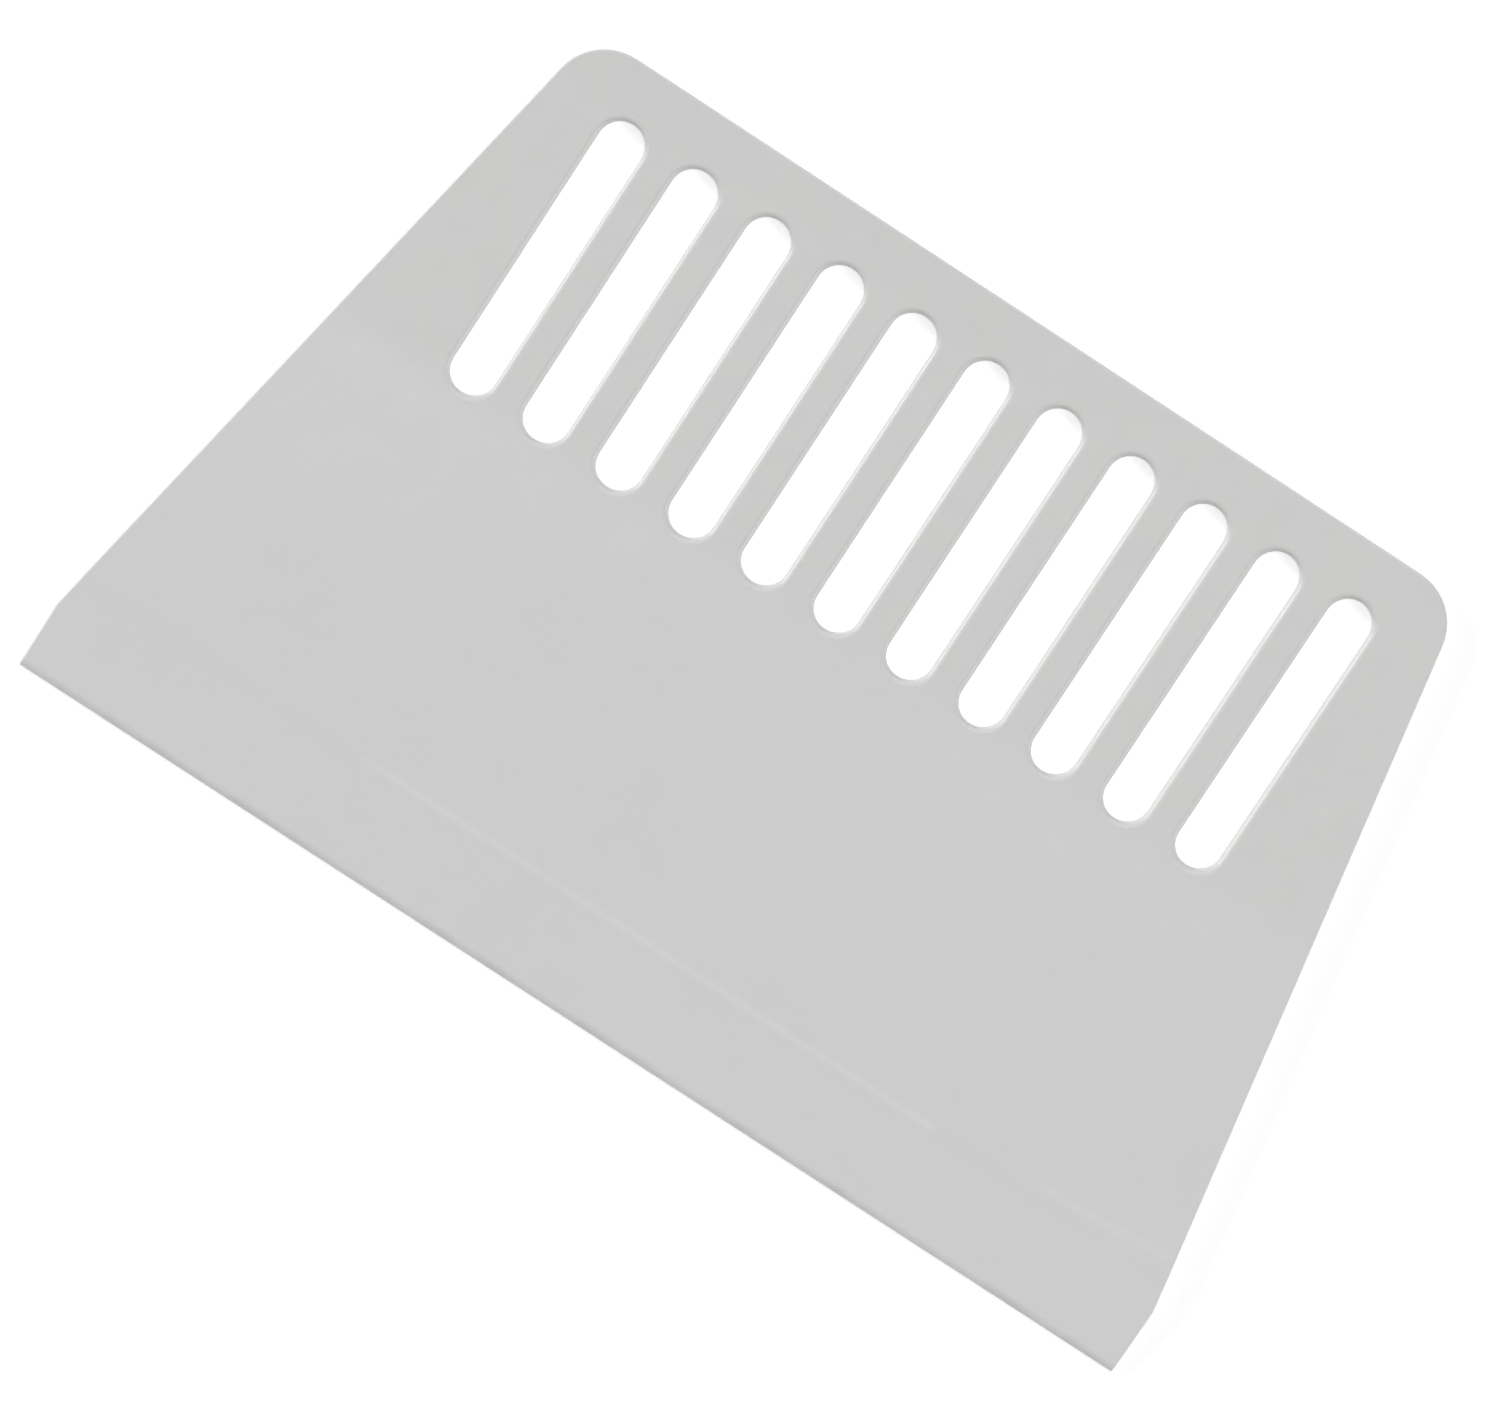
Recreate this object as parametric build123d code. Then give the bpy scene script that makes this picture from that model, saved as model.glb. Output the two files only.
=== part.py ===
"""Slotted icing smoother: one flat plastic moulding, thick at the grip and thin at its working edge.

All lengths are in millimetres. The plate lies face up: X runs along the working edge, Y from that edge to the
grip and Z up through the thickness. The origin is in the middle of the underside's bounding rectangle.
"""

import os
from math import radians, tan

from build123d import *

# Outline, seen from above
blade_width = 280.0
plate_height = 180.0
blade_end_height = 16.0
side_taper_degrees = 10.4
grip_corner_radius = 12.6
shoulder_radius = 12.0
blade_corner_radius = 1.2

# Thickness, seen from the side
body_thickness = 4.0
bevel_height = 24.0
crease_radius = 20.0
nose_thickness = 2.0
nose_depth = 1.9
nose_land = 0.9

# Grip slots
slot_count = 11
slot_width = 10.4
slot_length = 67.2
slot_top_margin = 12.0
slot_side_margin = 12.35

# Softened edges, none rounder than its share of the wall that it runs along
rim_radius = 1.3
top_edge_radius = 0.5
under_edge_radius = 0.3
widest_rim_share = 0.43
widest_top_edge_share = 0.56
widest_under_edge_share = 0.34
upright_tolerance = 1e-6

# Where things lie
edge_y = -plate_height / 2
top_y = plate_height / 2
bevel_y = edge_y + bevel_height
blade_half = blade_width / 2
grip_half = blade_half - (plate_height - blade_end_height) * tan(radians(side_taper_degrees))
slot_row_width = 2 * (grip_half - slot_side_margin)
slot_pitch = (slot_row_width - slot_width) / (slot_count - 1)
slot_centre_y = top_y - slot_top_margin - slot_length / 2


def outline():
    """The plate from above: a square-ended blade strip, then sides that lean in to a round-cornered grip."""
    shoulder_y = edge_y + blade_end_height
    corners = [
        (-blade_half, edge_y),
        (blade_half, edge_y),
        (blade_half, shoulder_y),
        (grip_half, top_y),
        (-grip_half, top_y),
        (-blade_half, shoulder_y),
    ]
    with BuildSketch() as shape:
        with BuildLine():
            Polyline(*corners, close=True)
        make_face()
        blade_corners, shoulders, grip_corners = shape.vertices().group_by(Axis.Y)
        fillet(grip_corners, radius=grip_corner_radius)
        fillet(shoulders, radius=shoulder_radius)
        fillet(blade_corners, radius=blade_corner_radius)
    return shape.sketch


def section():
    """The plate from the side: level body, soft crease, long bevel, rounded nose and a thin upright land."""
    nose_y = edge_y + nose_depth
    with BuildSketch(Plane.YZ) as shape:
        with BuildLine():
            face = FilletPolyline(
                (top_y, body_thickness),
                (bevel_y, body_thickness),
                (nose_y, nose_thickness),
                radius=crease_radius,
            )
            TangentArc(face @ 1, (edge_y, nose_land), tangent=face % 1)
            Polyline((edge_y, nose_land), (edge_y, 0), (top_y, 0), (top_y, body_thickness))
        make_face()
    return shape.sketch


def slots():
    """The row of upright, round-ended slots, as flat shapes."""
    with BuildSketch() as shape:
        with Locations((0, slot_centre_y)):
            with GridLocations(slot_pitch, 0, slot_count, 1):
                SlotOverall(slot_length, slot_width, rotation=90)
    return shape.sketch


def through(flat_shape):
    """A flat shape stood through the whole thickness, and as far again past both faces."""
    return extrude(flat_shape, amount=2 * body_thickness, both=True)


def outer_edges(plate):
    """The edges that run along the upright outer walls, above and below."""
    walls = plate.faces().filter_by(lambda face: abs(face.normal_at().Z) < upright_tolerance)
    return walls.edges().filter_by(Axis.Z, reverse=True)


def soften_outline(plate):
    """Rounds the outer edges, under the plate first and then round its top, from the nose up to the grip."""
    lower_edges = outer_edges(plate).filter_by_position(Axis.Z, 0, 0)
    plate = fillet(lower_edges, min(under_edge_radius, widest_under_edge_share * nose_land))
    upper_edges = outer_edges(plate).filter_by(lambda edge: edge.center().Z > nose_land / 2)
    return fillet(upper_edges, min(top_edge_radius, widest_top_edge_share * nose_land))


def soften_slots(plate):
    """Rounds the rims of the slots on both faces."""
    level_faces = plate.faces().filter_by(Plane.XY).sort_by(Axis.Z)
    rims = level_faces[0].inner_wires().edges() + level_faces[-1].inner_wires().edges()
    return fillet(rims, min(rim_radius, widest_rim_share * body_thickness))


def smoother_plate():
    """The whole moulding."""
    body = extrude(section(), amount=blade_half, both=True) & through(outline())
    return soften_slots(soften_outline(body) - through(slots()))


os.makedirs("parts", exist_ok=True)
plate = smoother_plate()
plate.label = "smoother_plate"
export_step(plate, "parts/smoother_plate.step")
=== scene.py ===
"""Studio scene for the icing smoother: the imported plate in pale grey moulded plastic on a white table.

The script works in metres, in the plate's own frame: X runs along the working edge, Y from that edge to the
grip and Z up through the thickness. Named lengths are in millimetres.
"""

import math

import bpy
from mathutils import Matrix, Vector

MM = 0.001

# Camera, from the places of the plate's corners and slots in the photograph
EYE_MM = (-54.7, 96.4, 1200.0)
AIM_MM = (-4.23, -11.95, 0.0)
UP_HEADING_DEGREES = 123.159
LENS_MM = 135.384
SENSOR_MM = 36.0

# Light: the room and the lamps share out the light that falls on a level surface
ROOM_SHARE = 0.40
# Lamps: name, share, heading, elevation and apparent width in degrees
LAMPS = (
    ("left", 0.21, 180.0, 17.0, 20.0),
    ("right", 0.19, 0.0, 28.0, 30.0),
    ("top", 0.20, 92.0, 50.0, 30.0),
)
LAMP_DISTANCE_MM = 1000.0

# Table
FLOOR_SIZE_MM = 6000.0
FLOOR_GAP_MM = 0.05
FLOOR_ALBEDO = 0.85
FLOOR_LIFT = 0.3
# Painted light: under the row of slots the table glows more, which washes out the plate's shadow seen through
# them, and the change lies hidden beneath the plate
SLOT_LIFT = 0.6
SLOT_FIELD_X_MM = (99.0, 106.0)
SLOT_FIELD_Y_MM = (35.0, 41.0)
SLOT_CENTRE_Y_MM = 44.4

# Places on the plate that its finish and its painted light and shade follow: heights above the working edge
# and distances from the middle
EDGE_Y_MM = -90.0
NOSE_HEIGHT_MM = (0.8, 2.6)
BLADE_HEIGHT_MM = (20.0, 25.0)
GRIP_HEIGHT_MM = (96.0, 108.0)
FOOT_RISE_MM = (82.0, 92.0)
FOOT_FALL_MM = (98.0, 104.0)
PALE_SIDE_MM = (-120.0, -30.0)
PALE_RISE_MM = (48.0, 78.0)
BROW_RISE_MM = (164.0, 174.0)
BROW_SIDE_MM = (-10.0, 50.0)
CREASE_HEIGHT_MM = 23.7
CREASE_HALF_WIDTH_MM = 1.8
CREASE_START_MM = (-74.0, -60.0)
CREASE_TURN_MM = 84.0
CREASE_TURN_SLOPE = 0.085
CREASE_GAP_MM = (78.0, 104.0)
# How strongly the stretch past the gap shows, as a share of the first one
CREASE_END_SHARE = 0.55
# Cosines of the slant between which a rounded edge counts as worn, and the plate's upper side sets in
EDGE_COSINES = (0.55, 0.985)
UPPER_COSINES = (0.0, 0.5)

# Patterns: size of the features, detail, roughness and depth in the noise, with lengths in millimetres
CLOUD = (38.0, 3.0, 0.5, 0.0)
SMEAR = (9.0, 3.0, 0.5, 50.0)
SPOTS = (6.5, 2.0, 0.5, 130.0)
PATCH = (17.0, 1.0, 0.5, 90.0)
GRAIN = (0.42, 3.0, 0.6, 0.0)
PITS = (1.1, 1.0, 0.5, 0.0)
WAVE = (30.0, 1.0, 0.5, 0.0)
# Scratches: direction in degrees from X, length and spacing in millimetres, and how thin the line is cut
SCRATCHES = (
    (3.0, 46.0, 1.9, 0.010),
    (-14.0, 34.0, 2.6, 0.008),
    (71.0, 40.0, 3.4, 0.007),
)
SCRATCH_DEPTH_STEP_MM = 10.0
# The scratches' own pattern has features of size 1, and is stretched to their length and spacing
SCRATCH_PATTERN = (1.0, 1.0, 0.5, 0.0)
NOISE_MIDDLE = 0.5
# Values of a pattern between which a mark that it breaks up sets in
SMEAR_SETS_IN = (-0.10, 0.20)
CREASE_SETS_IN = (-0.30, -0.05)
SCRATCH_SETS_IN = (0.0, 0.14)
# How strongly a pattern stirs a mark
GRIP_CLOUDING = 1.6
PALE_SMEARING = 1.0

# Plastic: base tone and roughness
TONE = 0.6025
ROUGHNESS = 0.50
# What each mark adds to them: a share of the tone, and a step in roughness
MARKS = {
    "cloud": (0.016, 0.10),
    "smear": (0.008, 0.10),
    "spots": (0.007, 0.06),
    # Painted light: the thin bevelled strip is lighter, as if the white table shone through it; its lower
    # roughness is a smoother bevel
    "blade_light": (0.024, -0.06),
    # Painted shade: the grip is a touch darker, in clouded patches
    "grip": (-0.016, -0.05),
    "blotch": (0.024, 0.10),
    # Painted sheen: a pale, broken band just below the slot ends
    "foot_sheen": (0.012, 0.0),
    "pale": (0.010, 0.0),
    # Painted highlight along the fold where the bevel starts; its lower roughness makes that line smoother
    "crease_highlight": (0.055, -0.08),
    "edge": (0.008, -0.07),
    "brow": (-0.014, 0.0),
    # Painted shade: a dark, broken line along the rounded working edge
    "nose_shade": (-0.085, 0.0),
    "scratch": (0.012, 0.10),
}
# Share of the blue that the warm patches in the grip lack
GRIP_WARMTH = 0.024

# Relief, in millimetres
GRAIN_HEIGHT_MM = 0.024
PIT_HEIGHT_MM = 0.020
WAVE_HEIGHT_MM = 0.05
SCRATCH_HEIGHT_MM = -0.004


def heading_vector(heading_degrees, elevation_degrees):
    """Unit vector towards a heading, counted from +X towards +Y, and an elevation above the table."""
    heading = math.radians(heading_degrees)
    elevation = math.radians(elevation_degrees)
    level = math.cos(elevation)
    return Vector((level * math.cos(heading), level * math.sin(heading), math.sin(elevation)))


def aimed(obj, place, target, up):
    """Stands an object at a place, looking along its own -Z at the target, with its Y towards up."""
    back = (place - target).normalized()
    right = up.cross(back).normalized()
    rows = Matrix((right, back.cross(right), back)).transposed()
    obj.matrix_world = Matrix.Translation(place) @ rows.to_4x4()


def make_camera():
    data = bpy.data.cameras.new("camera")
    data.sensor_width = SENSOR_MM
    data.lens = LENS_MM
    camera = bpy.data.objects.new("camera", data)
    bpy.context.scene.collection.objects.link(camera)
    aimed(camera, Vector(EYE_MM) * MM, Vector(AIM_MM) * MM, heading_vector(UP_HEADING_DEGREES, 0))
    bpy.context.scene.camera = camera


def make_lights():
    """An even white room and three soft lamps, whose shares of a level surface's light add up to 1."""
    world = bpy.data.worlds.new("studio")
    world.use_nodes = True
    background = world.node_tree.nodes["Background"]
    background.inputs["Color"].default_value = (1.0, 1.0, 1.0, 1.0)
    background.inputs["Strength"].default_value = ROOM_SHARE
    bpy.context.scene.world = world
    for name, share, heading, elevation, width in LAMPS:
        data = bpy.data.lights.new(name, "SUN")
        data.energy = share * math.pi / math.sin(math.radians(elevation))
        data.angle = math.radians(width)
        lamp = bpy.data.objects.new(name, data)
        bpy.context.scene.collection.objects.link(lamp)
        place = heading_vector(heading, elevation) * LAMP_DISTANCE_MM * MM
        aimed(lamp, place, Vector(), Vector((0, 0, 1)))


class Graph:
    """Short ways to add nodes to one material and join them up."""

    def __init__(self, material):
        material.use_nodes = True
        self.tree = material.node_tree
        self.tree.nodes.clear()
        self.output = self.add("ShaderNodeOutputMaterial")

    def add(self, kind, **settings):
        node = self.tree.nodes.new(kind)
        for name, value in settings.items():
            setattr(node, name, value)
        return node

    def link(self, source, target):
        self.tree.links.new(source, target)

    def feed(self, socket, value):
        """Joins a socket to another one, or writes a number on it."""
        if isinstance(value, bpy.types.NodeSocket):
            self.link(value, socket)
        else:
            socket.default_value = value

    def math(self, operation, *values):
        node = self.add("ShaderNodeMath", operation=operation)
        for socket, value in zip(node.inputs, values):
            self.feed(socket, value)
        return node.outputs[0]

    def total(self, first, *others):
        for other in others:
            first = self.math("ADD", first, other)
        return first

    def product(self, first, *others):
        for other in others:
            first = self.math("MULTIPLY", first, other)
        return first

    def distance(self, value, middle):
        """How far a value lies from a middle, on either side."""
        return self.math("ABSOLUTE", self.math("SUBTRACT", value, middle))

    def fade(self, value, limits):
        """0 before the first limit, 1 after the second and a smooth rise between them."""
        node = self.add("ShaderNodeMapRange", interpolation_type="SMOOTHSTEP")
        self.feed(node.inputs["Value"], value)
        node.inputs["From Min"].default_value, node.inputs["From Max"].default_value = limits
        return node.outputs["Result"]

    def fall(self, value, limits):
        """1 before the first limit, 0 after the second and a smooth drop between them."""
        return self.math("SUBTRACT", 1.0, self.fade(value, limits))

    def mapped(self, vector, turn_degrees=0.0, scale=(1.0, 1.0, 1.0), depth=0.0):
        """The vector turned about Z and scaled, then moved along Z."""
        node = self.add("ShaderNodeMapping", vector_type="POINT")
        self.link(vector, node.inputs["Vector"])
        node.inputs["Location"].default_value = (0.0, 0.0, depth)
        node.inputs["Rotation"].default_value = (0.0, 0.0, math.radians(turn_degrees))
        node.inputs["Scale"].default_value = scale
        return node.outputs["Vector"]

    def coordinates(self, kind):
        return self.add("ShaderNodeTexCoord").outputs[kind]

    def millimetres(self):
        """The place on the object, in millimetres."""
        return self.mapped(self.coordinates("Object"), scale=(1.0 / MM, 1.0 / MM, 1.0 / MM))

    def parts(self, vector):
        """The vector's X, Y and Z."""
        node = self.add("ShaderNodeSeparateXYZ")
        self.link(vector, node.inputs[0])
        return node.outputs["X"], node.outputs["Y"], node.outputs["Z"]

    def noise(self, place, pattern):
        """Even noise around 0, from about -0.5 to 0.5."""
        size, detail, roughness, depth = pattern
        node = self.add("ShaderNodeTexNoise")
        self.link(self.mapped(place, depth=depth), node.inputs["Vector"])
        node.inputs["Scale"].default_value = 1.0 / size
        node.inputs["Detail"].default_value = detail
        node.inputs["Roughness"].default_value = roughness
        return self.math("SUBTRACT", node.outputs["Fac"], NOISE_MIDDLE)


def table_material():
    """White paint. Its glow shows to the camera and in gloss only, so the plate's shadow stays on it; under
    the slots a stronger glow, painted light, lifts that shadow.
    """
    material = bpy.data.materials.new("white_table")
    graph = Graph(material)
    diffuse = graph.add("ShaderNodeBsdfDiffuse")
    diffuse.inputs["Color"].default_value = (FLOOR_ALBEDO, FLOOR_ALBEDO, FLOOR_ALBEDO, 1.0)
    path = graph.add("ShaderNodeLightPath")
    seen = graph.math("MAXIMUM", path.outputs["Is Camera Ray"], path.outputs["Is Glossy Ray"])
    seen = graph.math("MAXIMUM", seen, path.outputs["Is Transmission Ray"])
    x, y, _ = graph.parts(graph.millimetres())
    # Painted light: a stronger glow under the slots lifts the plate's shadow there
    across = graph.fall(graph.math("ABSOLUTE", x), SLOT_FIELD_X_MM)
    along = graph.fall(graph.distance(y, SLOT_CENTRE_Y_MM), SLOT_FIELD_Y_MM)
    lift = graph.math("MULTIPLY_ADD", graph.product(across, along), SLOT_LIFT - FLOOR_LIFT, FLOOR_LIFT)
    glow = graph.add("ShaderNodeEmission")
    graph.link(graph.product(seen, lift), glow.inputs["Strength"])
    both = graph.add("ShaderNodeAddShader")
    graph.link(diffuse.outputs[0], both.inputs[0])
    graph.link(glow.outputs[0], both.inputs[1])
    graph.link(both.outputs[0], graph.output.inputs["Surface"])
    return material


def make_floor():
    mesh = bpy.data.meshes.new("floor")
    half = FLOOR_SIZE_MM * MM / 2
    z = -FLOOR_GAP_MM * MM
    corners = [(-half, -half, z), (half, -half, z), (half, half, z), (-half, half, z)]
    mesh.from_pydata(corners, [], [(0, 1, 2, 3)])
    mesh.materials.append(table_material())
    floor = bpy.data.objects.new("floor", mesh)
    bpy.context.scene.collection.objects.link(floor)


def scratch_lines(graph, place):
    """Faint hairlines in a few directions, broken up by a patchy pattern: 1 on a line and 0 between lines."""
    lines = None
    for index, (turn, length, spacing, width) in enumerate(SCRATCHES):
        turned = graph.mapped(place, turn_degrees=-turn, depth=index * SCRATCH_DEPTH_STEP_MM)
        stretched = graph.mapped(turned, scale=(1.0 / length, 1.0 / spacing, 1.0 / length))
        ridge = graph.math("ABSOLUTE", graph.noise(stretched, SCRATCH_PATTERN))
        line = graph.fall(ridge, (0.0, width))
        lines = line if lines is None else graph.math("MAXIMUM", lines, line)
    return graph.product(lines, graph.fade(graph.noise(place, PATCH), SCRATCH_SETS_IN))


def crease_highlight_line(graph, x, height, smear):
    """The painted highlight along the fold where the bevel starts: level on the left, then a bare gap, then
    rising and fainter.
    """
    past_turn = graph.math("MAXIMUM", graph.math("SUBTRACT", x, CREASE_TURN_MM), 0.0)
    middle = graph.math("MULTIPLY_ADD", past_turn, CREASE_TURN_SLOPE, CREASE_HEIGHT_MM)
    line = graph.fall(graph.distance(height, middle), (0.0, CREASE_HALF_WIDTH_MM))
    gap_start, gap_end = CREASE_GAP_MM
    before_gap = graph.fall(x, (gap_start, gap_start + CREASE_HALF_WIDTH_MM))
    after_gap = graph.fade(x, (gap_end, gap_end + CREASE_HALF_WIDTH_MM))
    shown = graph.math("MAXIMUM", before_gap, graph.product(after_gap, CREASE_END_SHARE))
    return graph.product(line, shown, graph.fade(x, CREASE_START_MM), graph.fade(smear, CREASE_SETS_IN))


def plate_marks(graph, place):
    """Every mark on the plate, by name: how far it shows at each place."""
    x, y, _ = graph.parts(place)
    height = graph.math("SUBTRACT", y, EDGE_Y_MM)
    upright = graph.parts(graph.coordinates("Normal"))[2]
    upper = graph.fade(upright, UPPER_COSINES)
    cloud = graph.noise(place, CLOUD)
    smear = graph.noise(place, SMEAR)
    spots = graph.noise(place, SPOTS)
    smeared = graph.fade(smear, SMEAR_SETS_IN)
    gripped = graph.fade(height, GRIP_HEIGHT_MM)
    below_grip = graph.fall(height, FOOT_FALL_MM)
    left_side = graph.fall(x, PALE_SIDE_MM)
    pale_smears = graph.math("MULTIPLY_ADD", smear, PALE_SMEARING, 1.0)
    return {
        "cloud": cloud,
        "smear": smear,
        "spots": spots,
        # Painted light: the thin bevelled strip, painted lighter
        "blade_light": graph.fall(height, BLADE_HEIGHT_MM),
        # Painted shade: the grip, darker in clouded patches
        "grip": graph.product(gripped, graph.math("MULTIPLY_ADD", cloud, GRIP_CLOUDING, 1.0)),
        "blotch": graph.product(gripped, spots),
        # Painted sheen below the slot ends
        "foot_sheen": graph.product(graph.fade(height, FOOT_RISE_MM), below_grip, smeared),
        "pale": graph.product(graph.fade(height, PALE_RISE_MM), below_grip, left_side, pale_smears),
        "brow": graph.product(graph.fade(height, BROW_RISE_MM), graph.fall(x, BROW_SIDE_MM)),
        # Painted highlight along the fold where the bevel starts
        "crease_highlight": graph.product(crease_highlight_line(graph, x, height, smear), upper),
        "edge": graph.fall(graph.math("ABSOLUTE", upright), EDGE_COSINES),
        # Painted shade along the rounded working edge
        "nose_shade": graph.product(graph.fall(height, NOSE_HEIGHT_MM), smeared),
        "scratch": scratch_lines(graph, place),
        "warm": graph.product(gripped, smeared),
    }


def plastic_material():
    """Pale grey moulded plastic: fine grain, faint clouding, marks of use, and painted light and shade at
    their places on the plate.
    """
    material = bpy.data.materials.new("grey_plastic")
    graph = Graph(material)
    place = graph.millimetres()
    marks = plate_marks(graph, place)

    tone = TONE
    roughness = ROUGHNESS
    for name, (share, step) in MARKS.items():
        tone = graph.math("MULTIPLY_ADD", marks[name], TONE * share, tone)
        if step:
            roughness = graph.math("MULTIPLY_ADD", marks[name], step, roughness)
    blue = graph.product(tone, graph.math("MULTIPLY_ADD", marks["warm"], -GRIP_WARMTH, 1.0))
    colour = graph.add("ShaderNodeCombineColor")
    for channel, socket in zip((tone, tone, blue), colour.inputs):
        graph.link(channel, socket)

    relief = graph.total(
        graph.math("MULTIPLY", graph.noise(place, GRAIN), GRAIN_HEIGHT_MM),
        graph.math("MULTIPLY", graph.noise(place, PITS), PIT_HEIGHT_MM),
        graph.math("MULTIPLY", graph.noise(place, WAVE), WAVE_HEIGHT_MM),
        graph.math("MULTIPLY", marks["scratch"], SCRATCH_HEIGHT_MM),
    )
    bump = graph.add("ShaderNodeBump")
    bump.inputs["Strength"].default_value = 1.0
    bump.inputs["Distance"].default_value = MM
    graph.link(relief, bump.inputs["Height"])

    shader = graph.add("ShaderNodeBsdfPrincipled")
    graph.link(colour.outputs[0], shader.inputs["Base Color"])
    graph.link(roughness, shader.inputs["Roughness"])
    graph.link(bump.outputs["Normal"], shader.inputs["Normal"])
    graph.link(shader.outputs[0], graph.output.inputs["Surface"])
    return material


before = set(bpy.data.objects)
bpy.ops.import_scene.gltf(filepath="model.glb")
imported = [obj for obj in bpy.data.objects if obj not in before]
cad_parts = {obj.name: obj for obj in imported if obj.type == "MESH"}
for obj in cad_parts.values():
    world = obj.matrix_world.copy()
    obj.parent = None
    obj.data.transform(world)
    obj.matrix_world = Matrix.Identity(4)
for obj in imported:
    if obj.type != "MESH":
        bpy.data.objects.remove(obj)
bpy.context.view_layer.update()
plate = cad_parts["smoother_plate"]
plate.data.materials.clear()
plate.data.materials.append(plastic_material())
make_camera()
make_lights()
make_floor()
bpy.context.scene.view_settings.view_transform = "Standard"
